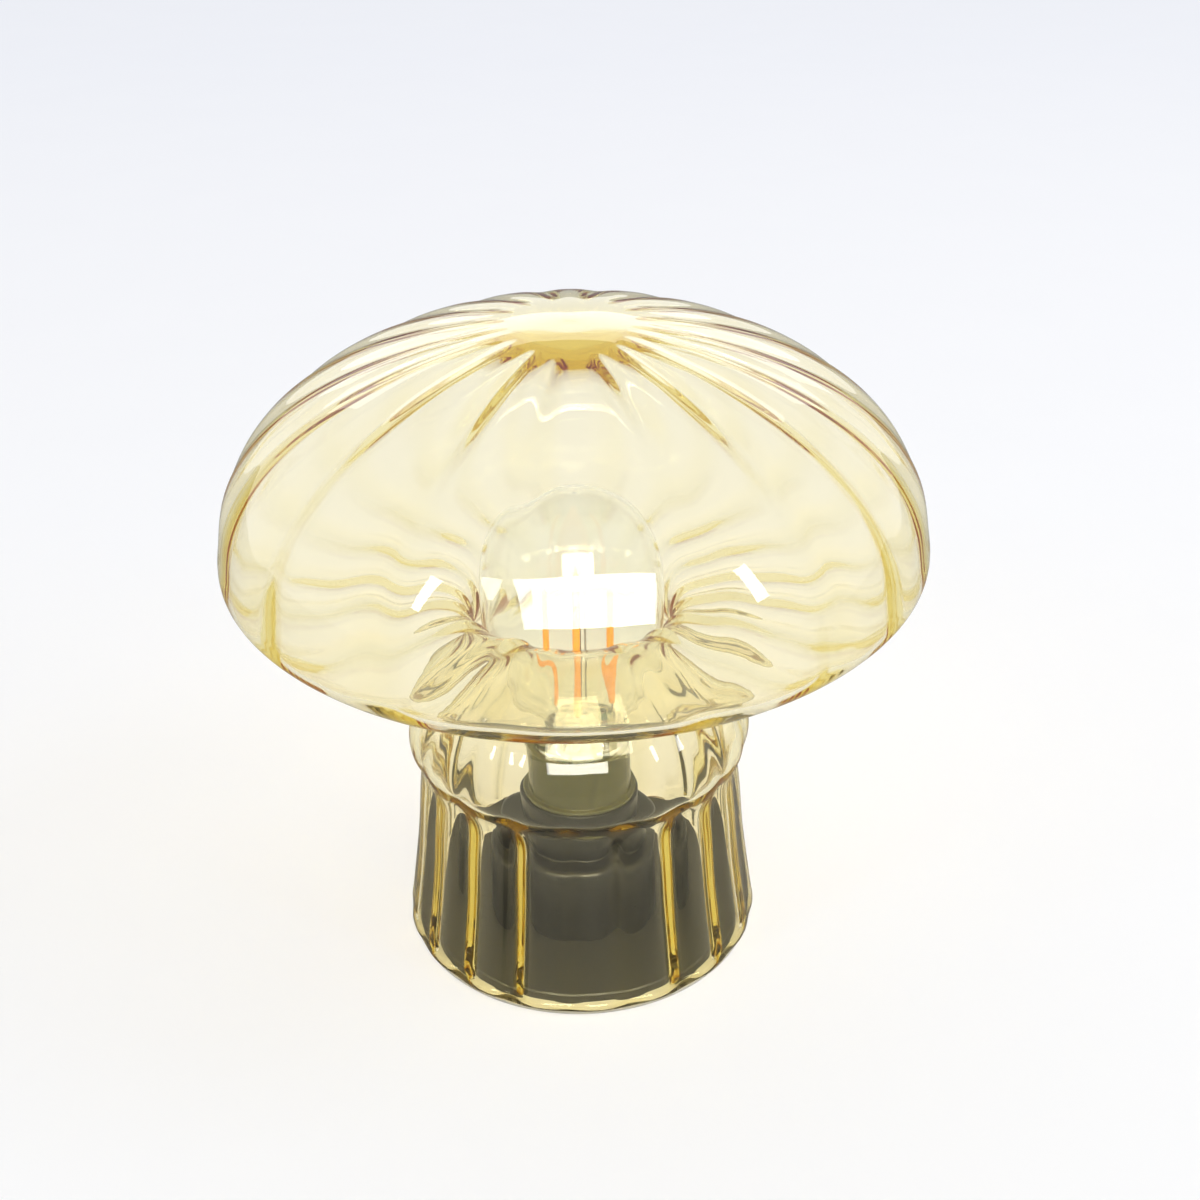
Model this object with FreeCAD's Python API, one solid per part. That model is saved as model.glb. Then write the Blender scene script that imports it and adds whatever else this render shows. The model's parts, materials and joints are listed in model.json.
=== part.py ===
import FreeCAD, Part
import math
import os

# Mushroom table lamp: one blown, optic-ribbed amber glass body (cap, neck, collar and skirt)
# over a battery-powered filament light that stands in its hollow stem.
# Millimetres, +Z up. The origin is the middle of the foot ring's underside.
# Azimuths are in degrees about +Z, 0 along +X; the front of the lamp is -Y.

V = FreeCAD.Vector
UP = V(0, 0, 1)
ORIGIN = V(0, 0, 0)

# ---------------------------------------------------------------- glass body
cap_radius = 90.0            # widest half width of the cap
equator_height = 119.2       # height of that widest circle above the table
crown_rise = 59.5            # crown above the equator
crown_round_r = 1.716        # super-ellipse exponents of the upper cap, across
crown_round_z = 2.418        # and up
base_radius = 50.1           # outside of the skirt at its ground rim
crease_radius = 44.2         # tight crease between skirt and collar
crease_height = 53.6
collar_radius = 46.9         # rounded collar above the crease
collar_height = 63.0
floor_drop = 14.2            # cap floor below the equator where it meets the neck
neck_drop = 23.7             # narrowest neck below the equator
wall = 2.6                   # glass between the ribs, in the stem
cap_wall = 1.4               # in the cap, where it is blown out further
crown_wall = 5.5             # and in the middle of the crown, where the gather stays thick
crown_disc = 24.0            # radius of the plain disc in the crown, free of ribs
crown_edge = (6.0, 44.0)     # radii between which the crown thins to the cap's wall
disc_edge = 8.0              # half the width in which the ribs rise at the plain disc
rib_fade = 70.0              # radius where a rib of the crown has sunk to the height of the cap's
rib_count = 18               # inner ribs round the whole body
rib_height = 2.2             # ribs in the skirt
rib_collar = 1.2             # in the collar
rib_neck = 0.35              # in the neck
rib_cap = 1.5                # in the cap
rib_crown = 2.2              # and beside the plain disc
rib_power = (8.0, 3.5)       # the higher, the narrower the ribs: in the stem, in the cap
valley_depth = 0.5           # shallow outer groove over each rib of the stem and the upper cap
groove_rise = 30.0           # height above the equator where the groove is whole
neck_clearance = 1.65        # between bulb and rib crests in the neck
rib_lean = -4.0              # azimuth of the rib beside the front, in the stem, to the front's right
cap_ribs = (-10, 22, 42, 60, 76, 91, 111, 131, 151, 171, 191, 211, 231, 251, 271, 285, 306, 331)
poles_per_rib = 6            # control points of the surface round each rib
rows = 48                    # control rows from rim to crown

# ---------------------------------------------------------------- foot and base disc
foot_thickness = 1.0         # rubber ring under the rim and the disc
foot_width = 9.0
foot_inset = 0.8             # ring edge inside the glass rim
disc_thickness = 2.6
disc_clearance = 0.5         # base disc to the rib crests

# ---------------------------------------------------------------- battery tube
tube_radius = 23.5
tube_wall = 1.6
tube_deck = 27.0             # top of its wide part above the table
turret_radius = 17.0         # narrower part above, round the cells
tube_top = 39.5              # top of that part
tube_shoulder = 2.5          # rounded edge of the wide part
turret_shoulder = 1.0        # and of the narrow one
slip = 0.2                   # clearance of parts that slide together

# ---------------------------------------------------------------- AAA cells
cell_radius = 5.25
cell_length = 44.5           # with the positive nub
nub_radius = 1.9
nub_height = 1.0
cell_clearance = 0.25
cell_web = 0.44              # holder between neighbouring bores
holder_wall = 0.8
holder_flange = 1.5          # flange of the holder under the tube's deck
holder_flange_height = 1.2
cell_azimuths = (90.0, 330.0, 210.0)

# ---------------------------------------------------------------- contacts and strip
plate_thickness = 0.3
plate_radius = 3.4
spring_height = 2.7
spring_wire = 0.5
spring_big = 3.0
spring_small = 1.6
spring_turns = 3
tab_width = 2.0               # tab from the first cell's contact up to the board
strip_width = 3.0
strip_azimuth = 150.0
strip_foot = 3.2             # inward foot of the strip over the door plate
groove_depth = 0.45
groove_spare = 0.2
contact_gap = 0.3            # between the door's contacts and what they feed

# ---------------------------------------------------------------- battery door and its screws
door_thickness = 2.0
door_margin = 1.5            # door beyond the cell holder
door_clearance = 0.3
ear_radius = 3.0
ear_reach = 2.9              # screw axis beyond the cell holder
door_screw_radius = 1.0
door_head_radius = 1.9
door_head_height = 1.2
door_head_sink = 0.2
door_screw_length = 6.0
insert_radius = 1.7
insert_length = 5.0
thread_clearance = 0.05
ear_pad_inset = 0.6           # raised pad on each ear, inside the ear's edge
grip_width = 1.2             # finger grooves across the door
grip_depth = 0.5
grip_pitch = 3.6
arm_half_width = 2.7
arm_height = 8.4

# ---------------------------------------------------------------- screws that hold the tube
tube_screw_azimuths = (90.0, 210.0, 330.0)
tube_screw_radius = 0.95
tube_screw_head = 2.0
tube_screw_head_height = 1.0
tube_screw_length = 8.0
boss_radius = 2.6
boss_height = 10.4
screw_bite = 0.02            # radial clearance of a thread-forming screw in its bore
head_clearance = 0.3

# ---------------------------------------------------------------- slide switch
switch_length = 8.6
switch_width = 3.6
switch_height = 3.4
switch_skin = 0.6
switch_base_thickness = 0.8
switch_reach = 4.1           # switch axis in from the tube's outside
switch_travel = 2.0          # each way from the middle, off position
knob_length = 1.6
knob_width = 1.4
knob_recess = 0.3            # knob tip above the underside of the disc
slider_length = 3.0
slider_gap = 0.2
pin_pitch = 2.54
pin_width = 0.6
pin_thickness = 0.3
pin_length = 1.8

# ---------------------------------------------------------------- lamp socket and driver board
socket_wall = 1.4
socket_rise = 5.7            # lamp socket above the cell holder
socket_flange = 1.7
socket_flange_height = 1.2
ledge_depth = 1.5            # bulb seat below the lamp socket's top
ledge_thickness = 0.6
ledge_width = 1.6
board_thickness = 1.0
standoff_height = 1.6
standoff_radius = 1.3
standoff_azimuths = (30.0, 150.0, 270.0)
standoff_pitch = 9.0
board_screw_radius = 0.8
board_screw_length = 4.0
board_head_radius = 1.3
board_head_height = 0.7
chip_size = (4.9, 2.6, 1.1)  # small-outline package
chip_lift = 0.1
leg_pitch = 1.27
leg_size = (0.4, 0.8, 0.3)
leg_reach = 1.6
crystal_size = (3.2, 1.5, 0.8)
crystal_place = (5.4, -4.2)
resistor_size = (1.6, 0.8, 0.5)
resistor_place = (-6.2, -3.4)
resistor_pitch = 1.7
capacitor_size = (1.3, 2.0, 0.9)
capacitor_place = (5.2, 7.8)

# ---------------------------------------------------------------- bulb
bulb_radius = 24.0
bulb_length = 76.8           # seat to the top of the dome
bulb_straight = 9.8          # nearly straight stretch under the dome
bulb_wall = 0.9
bulb_seat_clearance = 0.3
mount_radius = 4.0           # glass mount inside the bulb
mount_height = 7.5
rod_radius = 1.1
filament_radius = 1.0
filament_length = 38.0
filament_circle = 9.0
filament_azimuths = (0.0, 90.0, 180.0, 270.0)
support_wire = 0.35
support_hub = 2.6
support_rise = 0.8           # bottom support above the mount
hub_height = 1.6
stub_height = 1.4            # support arm to the filament's end
lead_radius = 0.3
anode_pitch = 3.2
cathode_pitch = 2.0

# ---------------------------------------------------------------- wires
wire_radius = 0.6
wire_pitch = 1.6
wire_depth = 1.15            # wire axis inside the holder's outside
wire_bend = 8.0
wire_spare = 0.5             # groove beside the wires
wire_rise = 8.0              # straight stretch above the switch
wire_slant = 13.0            # height in which the wires come over to the groove

# ---------------------------------------------------------------- levels and sizes that follow
disc_bottom = foot_thickness
disc_top = disc_bottom + disc_thickness
disc_radius = base_radius - wall - rib_height - disc_clearance
tube_bore = tube_radius - tube_wall
deck_bottom = tube_top - tube_wall

cell_pitch = (cell_radius + cell_clearance + cell_web / 2) / math.sin(math.radians(60))
holder_radius = cell_pitch + cell_radius + cell_clearance + holder_wall
door_top = disc_bottom + door_thickness
door_plate_top = door_top + plate_thickness
cell_bottom = door_plate_top + spring_height + contact_gap
holder_top = cell_bottom + cell_length
holder_bottom = disc_top + 4 * door_clearance

screw_pitch = holder_radius + ear_reach
door_radius = holder_radius + door_margin
arm_inner = holder_radius + door_clearance
boss_pitch = tube_bore - boss_radius + door_clearance

switch_y = switch_reach - tube_radius
board_bottom = holder_top + standoff_height
board_top = board_bottom + board_thickness
switch_top = disc_top + switch_height
switch_floor = disc_top + switch_skin
switch_lid = switch_top - switch_base_thickness
switch_room_length = switch_length - 2 * switch_skin
switch_room_width = switch_width - 2 * switch_skin
socket_bore = holder_radius + slip
socket_radius = socket_bore + socket_wall
socket_top = holder_top + socket_rise
bulb_seat = socket_top - ledge_depth
bulb_neck = socket_bore - bulb_seat_clearance
bulb_top = bulb_seat + bulb_length
mount_top = bulb_seat + mount_height
support_low = mount_top + support_rise
support_level = support_low + hub_height / 2
filament_bottom = support_level + stub_height
filament_top = filament_bottom + filament_length
top_support = filament_top + stub_height
neck_radius = bulb_radius + neck_clearance + rib_neck + wall
neck_height = equator_height - neck_drop
floor_height = equator_height - floor_drop


def save(node, shape):
    """Write one sub-part."""
    shape.exportStep("parts/" + node + ".step")


def around(radius, azimuth, z=0.0):
    """A point at a radius and azimuth."""
    angle = math.radians(azimuth)
    return V(radius * math.cos(angle), radius * math.sin(angle), z)


def disc(radius, bottom, top, at=ORIGIN):
    """A solid round bar standing on a level."""
    return Part.makeCylinder(radius, top - bottom, V(at.x, at.y, bottom), UP)


def ring(outer, inner, bottom, top, at=ORIGIN):
    """A round tube standing on a level."""
    return disc(outer, bottom, top, at).cut(disc(inner, bottom - 1, top + 1, at))


def block(length, width, bottom, top, x=0.0, y=0.0):
    """A box centred on x and y."""
    return Part.makeBox(length, width, top - bottom, V(x - length / 2, y - width / 2, bottom))


def turned(shape, azimuth):
    """A copy turned about the lamp's axis."""
    copy = shape.copy()
    copy.rotate(ORIGIN, UP, azimuth)
    return copy


def joined(shapes):
    """All shapes as one solid."""
    return shapes[0].multiFuse(shapes[1:]).removeSplitter()


def smooth(low, high, value):
    """0 below low, 1 above high, and an S-shaped rise between."""
    t = min(max((value - low) / (high - low), 0.0), 1.0)
    return t * t * (3 - 2 * t)


def mixed(a, b, share):
    """The value a share of the way from a to b."""
    return a + (b - a) * share


# ---------------------------------------------------------------- the glass body

def glass_profile():
    """The mean outside of the glass, from the rim up to the middle of the crown."""
    skirt = [(mixed(crease_radius + 0.3, base_radius, share ** 1.35),
              mixed(crease_height - 4, foot_thickness, share)) for share in (1, 0.68, 0.36, 0.1)]
    crease = [(crease_radius, crease_height - 0.6),
              (crease_radius + 0.5, crease_height + 1.8)]
    bead = [(mixed(crease_radius, collar_radius, 0.68), crease_height + 4.8),
            (collar_radius, collar_height),
            (collar_radius - 0.9, collar_height + 6)]
    shoulder = [(mixed(collar_radius, neck_radius, share_r), mixed(collar_height, neck_height, share_z))
                for share_r, share_z in ((0.27, 0.415), (0.62, 0.63), (0.9, 0.815), (1.0, 1.0))]
    lip = [(neck_radius + 1.4, mixed(neck_height, floor_height, 0.54)),
           (neck_radius + 5.9, floor_height - 1.2)]
    underside = [(mixed(neck_radius, cap_radius, share_r), mixed(floor_height, equator_height, share_z))
                 for share_r, share_z in ((0.25, 0.0), (0.48, 0.05), (0.675, 0.15), (0.815, 0.33),
                                          (0.91, 0.57), (0.974, 0.82), (1.0, 1.0))]
    crown = []
    for degrees in (4, 10, 18, 27, 37, 48, 60, 72, 82):
        angle = math.radians(degrees)
        radius = cap_radius * math.cos(angle) ** (2 / crown_round_r)
        height = equator_height + crown_rise * math.sin(angle) ** (2 / crown_round_z)
        crown.append((radius, height))
    crown.append((0.0, equator_height + crown_rise))
    stations = skirt + crease + bead + shoulder + lip + underside + crown
    curve = Part.BSplineCurve()
    curve.interpolate([V(radius, 0, height) for radius, height in stations])
    return curve


def rib_crest(share, gap, power):
    """1 on a rib, 0 between two: share runs from one rib to the next over a gap in degrees."""
    away = min(share, 1 - share) * max(gap * rib_count / 360.0, 1.0)
    return math.cos(math.pi * min(away, 0.5)) ** power


def glass_surface(curve, inside):
    """The ribbed skin: each row follows the profile, moved along its normal.

    Outside, a shallow groove runs over each rib. Inside, the wall and the rib height are
    taken off, so the panels between the ribs are hollow scallops that meet in rounded crests.
    The ribs stand evenly in the stem and lean over to their own azimuths in the cap.
    """
    columns = rib_count * poles_per_rib
    first, last = curve.FirstParameter, curve.LastParameter
    net = [[] for _ in range(columns)]
    for row in range(rows + 1):
        at = curve.value(mixed(first, last, row / rows))
        along = curve.tangent(mixed(first, last, row / rows))[0]
        normal = V(along.z, 0, -along.x) if row < rows else UP
        upper = at.z > equator_height
        cap = smooth(neck_height - 10, floor_height, at.z)
        crown = 1 - smooth(crown_disc, rib_fade, at.x) if upper else 0.0
        gather = 1 - smooth(crown_edge[0], crown_edge[1], at.x) if upper else 0.0
        shown = smooth(crown_disc - disc_edge, crown_disc + disc_edge, at.x) if upper else 1.0
        collar_rib = mixed(rib_neck, rib_collar, smooth(neck_radius, crease_radius, at.x))
        stem_rib = mixed(rib_height, collar_rib, smooth(crease_height - 6, crease_height + 6, at.z))
        rib = mixed(stem_rib, mixed(rib_cap, rib_crown, crown), cap) * shown
        thick = mixed(mixed(wall, cap_wall, cap), crown_wall, gather)
        rise = smooth(equator_height, equator_height + groove_rise, at.z) if upper else 1 - cap
        groove = valley_depth * shown * rise
        ribs = [mixed(rib_lean + 360.0 * k / rib_count, azimuth, cap) for k, azimuth in enumerate(cap_ribs)]
        ribs.append(ribs[0] + 360)
        for column in range(columns):
            k, step = divmod(column, poles_per_rib)
            gap = ribs[k + 1] - ribs[k]
            crest = rib_crest(step / poles_per_rib, gap, mixed(rib_power[0], rib_power[1], cap))
            depth = thick + rib * crest if inside else groove * crest
            radius = at.x - depth * normal.x if row < rows else 0.0
            height = at.z - depth * normal.z if row else foot_thickness
            net[column].append(around(radius, ribs[k] + gap * step / poles_per_rib - 90, height))
    surface = Part.BSplineSurface()
    knots_round = [float(i) for i in range(columns + 1)]
    knots_up = [float(i) for i in range(rows - 1)]
    ends_up = [4] + [1] * (rows - 3) + [4]
    surface.buildFromPolesMultsKnots(net, [1] * (columns + 1), ends_up, knots_round, knots_up,
                                     True, False, 3, 3)
    return surface.toShape()


def rim_edge(face):
    """The closed edge of a skin that lies on the ground rim."""
    low = foot_thickness + 0.01
    return next(edge for edge in face.Edges if not edge.Degenerated and edge.BoundBox.ZMax < low)


def glass_body():
    curve = glass_profile()
    outer = glass_surface(curve, False)
    inner = glass_surface(curve, True)
    rim = Part.makeFace([Part.Wire(rim_edge(outer)), Part.Wire(rim_edge(inner))],
                        "Part::FaceMakerBullseye")
    shell = Part.Shell([outer, inner, rim])
    shell.sewShape()
    solid = Part.Solid(shell)
    if solid.Volume < 0:
        solid.reverse()
    return solid


# ---------------------------------------------------------------- foot, disc and tube

def foot_ring():
    outer = base_radius - foot_inset
    return ring(outer, outer - foot_width, 0, foot_thickness)


def door_outline(spare, bottom, top):
    """The door's plan, a round plate with two screw ears, grown by a clearance."""
    plan = [disc(door_radius + spare, bottom, top)]
    for side in (-1, 1):
        plan.append(disc(ear_radius + spare, bottom, top, V(side * screw_pitch, 0, 0)))
    return joined(plan)


def base_disc():
    body = disc(disc_radius, disc_bottom, disc_top)
    body = body.makeChamfer(0.4, [edge for edge in body.Edges
                                  if edge.BoundBox.ZMin > disc_top - 0.01 and edge.Closed])
    cuts = [door_outline(door_clearance, disc_bottom - 1, disc_top + 1),
            block(knob_length + 2 * switch_travel + 4 * slider_gap, knob_width + 3 * slider_gap,
                  disc_bottom - 1, disc_top + 1, y=switch_y)]
    for azimuth in tube_screw_azimuths:
        at = around(boss_pitch, azimuth)
        cuts.append(disc(tube_screw_radius + slip, disc_bottom - 1, disc_top + 1, at))
        cuts.append(disc(tube_screw_head + head_clearance, disc_bottom - 1,
                         disc_bottom + tube_screw_head_height + slip, at))
    return body.cut(cuts)


def round_topped(radius, bottom, top, rounding):
    """A round bar with a rounded top edge."""
    bar = disc(radius, bottom, top)
    return bar.makeFillet(rounding, [edge for edge in bar.Edges
                                     if edge.BoundBox.ZMin > top - 0.01 and edge.Closed])


def battery_tube():
    """The wide part, the turret round the cells, and inside the screws' bosses and the door's arms."""
    body = joined([round_topped(tube_radius, disc_top, tube_deck, tube_shoulder),
                   round_topped(turret_radius, tube_deck - tube_wall, tube_top, turret_shoulder)])
    body = body.cut(disc(tube_bore, disc_top - 1, tube_deck - tube_wall))
    body = body.cut(disc(turret_radius - tube_wall, disc_top, deck_bottom))
    body = body.cut(disc(holder_radius + slip, deck_bottom - 1, tube_top + 1))
    grown = [body]
    for azimuth in tube_screw_azimuths:
        grown.append(disc(boss_radius, disc_top, disc_top + boss_height, around(boss_pitch, azimuth)))
    arm_length = tube_bore - arm_inner + tube_wall / 2
    for azimuth in (0, 180):
        arm = block(arm_length, 2 * arm_half_width, disc_top, disc_top + arm_height,
                    x=arm_inner + arm_length / 2)
        grown.append(turned(arm, azimuth))
    body = joined(grown)
    cuts = []
    for azimuth in tube_screw_azimuths:
        cuts.append(disc(tube_screw_radius + screw_bite, disc_top - 1, disc_top + boss_height - 1,
                         around(boss_pitch, azimuth)))
    for side in (-1, 1):
        at = V(side * screw_pitch, 0, 0)
        cuts.append(disc(insert_radius, disc_top - 1, disc_top + insert_length, at))
        cuts.append(disc(door_screw_radius + slip, disc_top, disc_top + insert_length + 2, at))
    return body.cut(cuts)


def screw_inserts():
    return Part.makeCompound([ring(insert_radius, door_screw_radius + thread_clearance, disc_top,
                                   disc_top + insert_length, V(side * screw_pitch, 0, 0))
                              for side in (-1, 1)])


def cross_screw(head, head_height, shank, length, head_bottom):
    """A pan-head screw pointing up, its cross recess on the underside."""
    head_top = head_bottom + head_height
    body = disc(head, head_bottom, head_top)
    body = body.makeFillet(0.35 * head_height, [edge for edge in body.Edges
                                                if edge.BoundBox.ZMax < head_bottom + 0.01 and edge.Closed])
    point = 0.5 * shank
    tip = head_top + length
    body = joined([body, disc(shank, head_top, tip - point),
                   Part.makeCone(shank, shank / 2, point, V(0, 0, tip - point), UP)])
    slot = block(1.2 * head, 0.25 * head, head_bottom - 1, head_bottom + 0.5 * head_height)
    return body.cut([slot, turned(slot, 90)])


def tube_screws():
    screw = cross_screw(tube_screw_head, tube_screw_head_height, tube_screw_radius,
                        tube_screw_length, disc_bottom + slip)
    return Part.makeCompound([screw.translated(around(boss_pitch, azimuth))
                              for azimuth in tube_screw_azimuths])


# ---------------------------------------------------------------- cells and their holder

def wire_groove():
    """The slot in the holder that the two switch wires run up."""
    width = 2 * wire_radius + wire_pitch + 2 * wire_spare
    depth = wire_depth + wire_radius + slip
    return block(width, 2 * depth, holder_bottom - 1, holder_top + 1, y=-holder_radius)


def cell_holder():
    body = disc(holder_radius, holder_bottom, holder_top)
    flange = disc(holder_radius + holder_flange, deck_bottom - holder_flange_height, deck_bottom)
    grown = [body, flange]
    for azimuth in standoff_azimuths:
        grown.append(disc(standoff_radius, holder_top - 1, board_bottom,
                          around(standoff_pitch, azimuth)))
    body = joined(grown)
    cuts = [wire_groove()]
    for azimuth in cell_azimuths:
        cuts.append(disc(cell_radius + cell_clearance, holder_bottom - 1, holder_top + 1,
                         around(cell_pitch, azimuth)))
    for azimuth in standoff_azimuths:
        cuts.append(disc(board_screw_radius + screw_bite, board_bottom - board_screw_length,
                         board_bottom + 1, around(standoff_pitch, azimuth)))
    strip = block(2 * groove_depth, strip_width + groove_spare, holder_bottom - 1, holder_top + 1,
                  x=holder_radius)
    cuts.append(turned(strip, strip_azimuth))
    return body.cut(cuts)


def battery_cell(index):
    """A can with its nub; the second one stands upside down."""
    upside_down = index == 1
    at = around(cell_pitch, cell_azimuths[index])
    can = disc(cell_radius, 0, cell_length - nub_height)
    can = can.makeFillet(0.4, [edge for edge in can.Edges if edge.Closed and edge.BoundBox.ZLength < 0.01])
    cell = joined([can, disc(nub_radius, cell_length - nub_height - 0.1, cell_length)])
    if upside_down:
        cell.rotate(ORIGIN, V(1, 0, 0), 180)
        cell.translate(V(0, 0, cell_length + door_plate_top + contact_gap))
    else:
        cell.translate(V(0, 0, cell_bottom))
    return cell.translated(at)


def link_plate(azimuths, bottom, radius=plate_radius):
    """A flat contact over one cell, or a bar over two."""
    ends = [around(cell_pitch, azimuth) for azimuth in azimuths]
    pads = [disc(radius, bottom, bottom + plate_thickness, at) for at in ends]
    if len(ends) == 1:
        return pads[0]
    reach = ends[1] - ends[0]
    bar = Part.makeBox(reach.Length, 2 * radius, plate_thickness, V(0, -radius, bottom))
    bar.rotate(ORIGIN, UP, math.degrees(math.atan2(reach.y, reach.x)))
    bar.translate(ends[0])
    return joined(pads + [bar])


def door_contact_single():
    """Under the last cell, with an arm that reaches the strip's foot."""
    pad = around(cell_pitch, cell_azimuths[2])
    goal = around(holder_radius - strip_foot / 2, strip_azimuth)
    reach = goal - pad
    arm = Part.makeBox(reach.Length, strip_width, plate_thickness, V(0, -strip_width / 2, door_top))
    arm.rotate(ORIGIN, UP, math.degrees(math.atan2(reach.y, reach.x)))
    arm.translate(pad)
    return joined([link_plate(cell_azimuths[2:], door_top), arm])


def top_contact_single():
    """Over the first cell, with a tab up to the board."""
    at = around(cell_pitch, cell_azimuths[0])
    tab = block(tab_width, plate_thickness, holder_top, board_bottom, at.x, at.y + plate_radius / 2)
    return joined([link_plate(cell_azimuths[:1], holder_top), tab])


def coil(bottom_radius, top_radius, bottom, height):
    """A conical spring of half turns, each a part of a ring, level where they meet.

    A half turn runs from one side to the other about a centre that lies midway between its
    two ends, and its plane leans so that it climbs half a pitch.
    """
    halves = 2 * spring_turns
    inside = height - spring_wire
    level = bottom + spring_wire / 2
    pieces = []
    for half in range(halves):
        side = 1 if half % 2 == 0 else -1
        start_radius = mixed(bottom_radius, top_radius, half / halves)
        end_radius = mixed(bottom_radius, top_radius, (half + 1) / halves)
        climb = inside / halves
        start = V(side * start_radius, 0, level + half * climb)
        end = V(-side * end_radius, 0, level + (half + 1) * climb)
        centre = (start + end) * 0.5
        axis = (start - centre).cross(V(0, side, 0)).normalize()
        circle = Part.Circle(start, V(0, 1, 0), spring_wire / 2)
        face = Part.Face(Part.Wire(circle.toShape()))
        pieces.append(face.revolve(centre, axis, 180))
    return joined(pieces)


def door_springs():
    spring = coil(spring_big, spring_small, door_plate_top, spring_height)
    return Part.makeCompound([spring.translated(around(cell_pitch, cell_azimuths[index]))
                              for index in (0, 2)])


def top_spring():
    height = holder_top - (door_plate_top + contact_gap + cell_length)
    spring = coil(spring_small, spring_big, holder_top - height, height)
    return spring.translated(around(cell_pitch, cell_azimuths[1]))


def negative_strip():
    """Up the holder's side to the board, with a foot over the door's contact."""
    outer = holder_radius - slip / 2
    foot_bottom = door_plate_top + contact_gap
    riser = Part.makeBox(plate_thickness, strip_width, board_bottom - foot_bottom,
                         V(outer - plate_thickness, -strip_width / 2, foot_bottom))
    foot = Part.makeBox(strip_foot, strip_width, plate_thickness,
                        V(outer - strip_foot, -strip_width / 2, foot_bottom))
    return turned(joined([riser, foot]), strip_azimuth)


# ---------------------------------------------------------------- battery door

def battery_door():
    body = door_outline(0, disc_bottom, door_top)
    pads = [disc(ear_radius - ear_pad_inset, disc_bottom + grip_depth, disc_top - door_clearance,
                 V(side * screw_pitch, 0, 0)) for side in (-1, 1)]
    body = joined([body] + pads)
    cuts = []
    for side in (-1, 1):
        at = V(side * screw_pitch, 0, 0)
        cuts.append(disc(door_screw_radius + slip, disc_bottom - 1, disc_top + 1, at))
        cuts.append(disc(door_head_radius + head_clearance, disc_bottom - 1,
                         disc_bottom + door_head_sink + door_head_height, at))
    grip = block(door_radius, grip_width, disc_bottom - 1, disc_bottom + grip_depth)
    cuts += [grip.translated(V(0, index * grip_pitch, 0)) for index in (-1, 0, 1)]
    return body.cut(cuts)


def door_screw(side):
    screw = cross_screw(door_head_radius, door_head_height, door_screw_radius, door_screw_length,
                        disc_bottom + door_head_sink)
    return screw.translated(V(side * screw_pitch, 0, 0))


# ---------------------------------------------------------------- slide switch

def switch_frame():
    body = block(switch_length, switch_width, disc_top, switch_top, y=switch_y)
    room = block(switch_room_length, switch_room_width, switch_floor, switch_top + 1, y=switch_y)
    slot = block(knob_length + 2 * switch_travel + 2 * slider_gap, knob_width + 2 * slider_gap,
                 disc_top - 1, switch_floor + 1, y=switch_y)
    return body.cut([room, slot])


def switch_base():
    return block(switch_room_length, switch_room_width, switch_lid, switch_top, y=switch_y)


def switch_slider():
    carriage = block(slider_length, switch_room_width - 2 * slider_gap,
                     switch_floor + slider_gap, switch_lid - slider_gap, y=switch_y)
    knob = block(knob_length, knob_width, disc_bottom + knob_recess, switch_floor + 2 * slider_gap,
                 y=switch_y)
    return joined([carriage, knob])


def switch_pins():
    return Part.makeCompound([block(pin_width, pin_thickness, switch_top, switch_top + pin_length,
                                    index * pin_pitch, switch_y) for index in (-1, 0, 1)])


# ---------------------------------------------------------------- lamp socket and board

def lamp_socket():
    return joined([ring(socket_radius, socket_bore, tube_top, socket_top),
                   ring(socket_radius + socket_flange, socket_bore, tube_top,
                        tube_top + socket_flange_height),
                   ring(socket_bore + 0.4, socket_bore - ledge_width, bulb_seat - ledge_thickness,
                        bulb_seat)])


def driver_board():
    body = disc(socket_bore - slip, board_bottom, board_top)
    holes = [disc(board_screw_radius + slip / 2, board_bottom - 1, board_top + 1,
                  around(standoff_pitch, azimuth)) for azimuth in standoff_azimuths]
    return body.cut(holes)


def board_screws():
    """Pan-head screws that point down."""
    screw = cross_screw(board_head_radius, board_head_height, board_screw_radius,
                        board_screw_length - 0.5, 0)
    screw.rotate(ORIGIN, V(1, 0, 0), 180)
    screw.translate(V(0, 0, board_top + board_head_height))
    return Part.makeCompound([screw.translated(around(standoff_pitch, azimuth))
                              for azimuth in standoff_azimuths])


def chip(size, place, lift=0.0):
    """A small block standing on the board."""
    length, width, height = size
    return block(length, width, board_top + lift, board_top + lift + height, *place)


def timer_chip():
    """A small-outline package with four legs a side."""
    body = chip(chip_size, (0, cell_pitch), chip_lift)
    legs = [chip(leg_size, (step * leg_pitch, cell_pitch + side * leg_reach))
            for step in (-1.5, -0.5, 0.5, 1.5) for side in (-1, 1)]
    return joined([body] + legs)


def timing_crystal():
    return chip(crystal_size, crystal_place)


def chip_resistors():
    x, y = resistor_place
    return Part.makeCompound([chip(resistor_size, (x, y - index * resistor_pitch)) for index in range(3)])


def chip_capacitors():
    x, y = capacitor_place
    return Part.makeCompound([chip(capacitor_size, (side * x, y)) for side in (-1, 1)])


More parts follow.
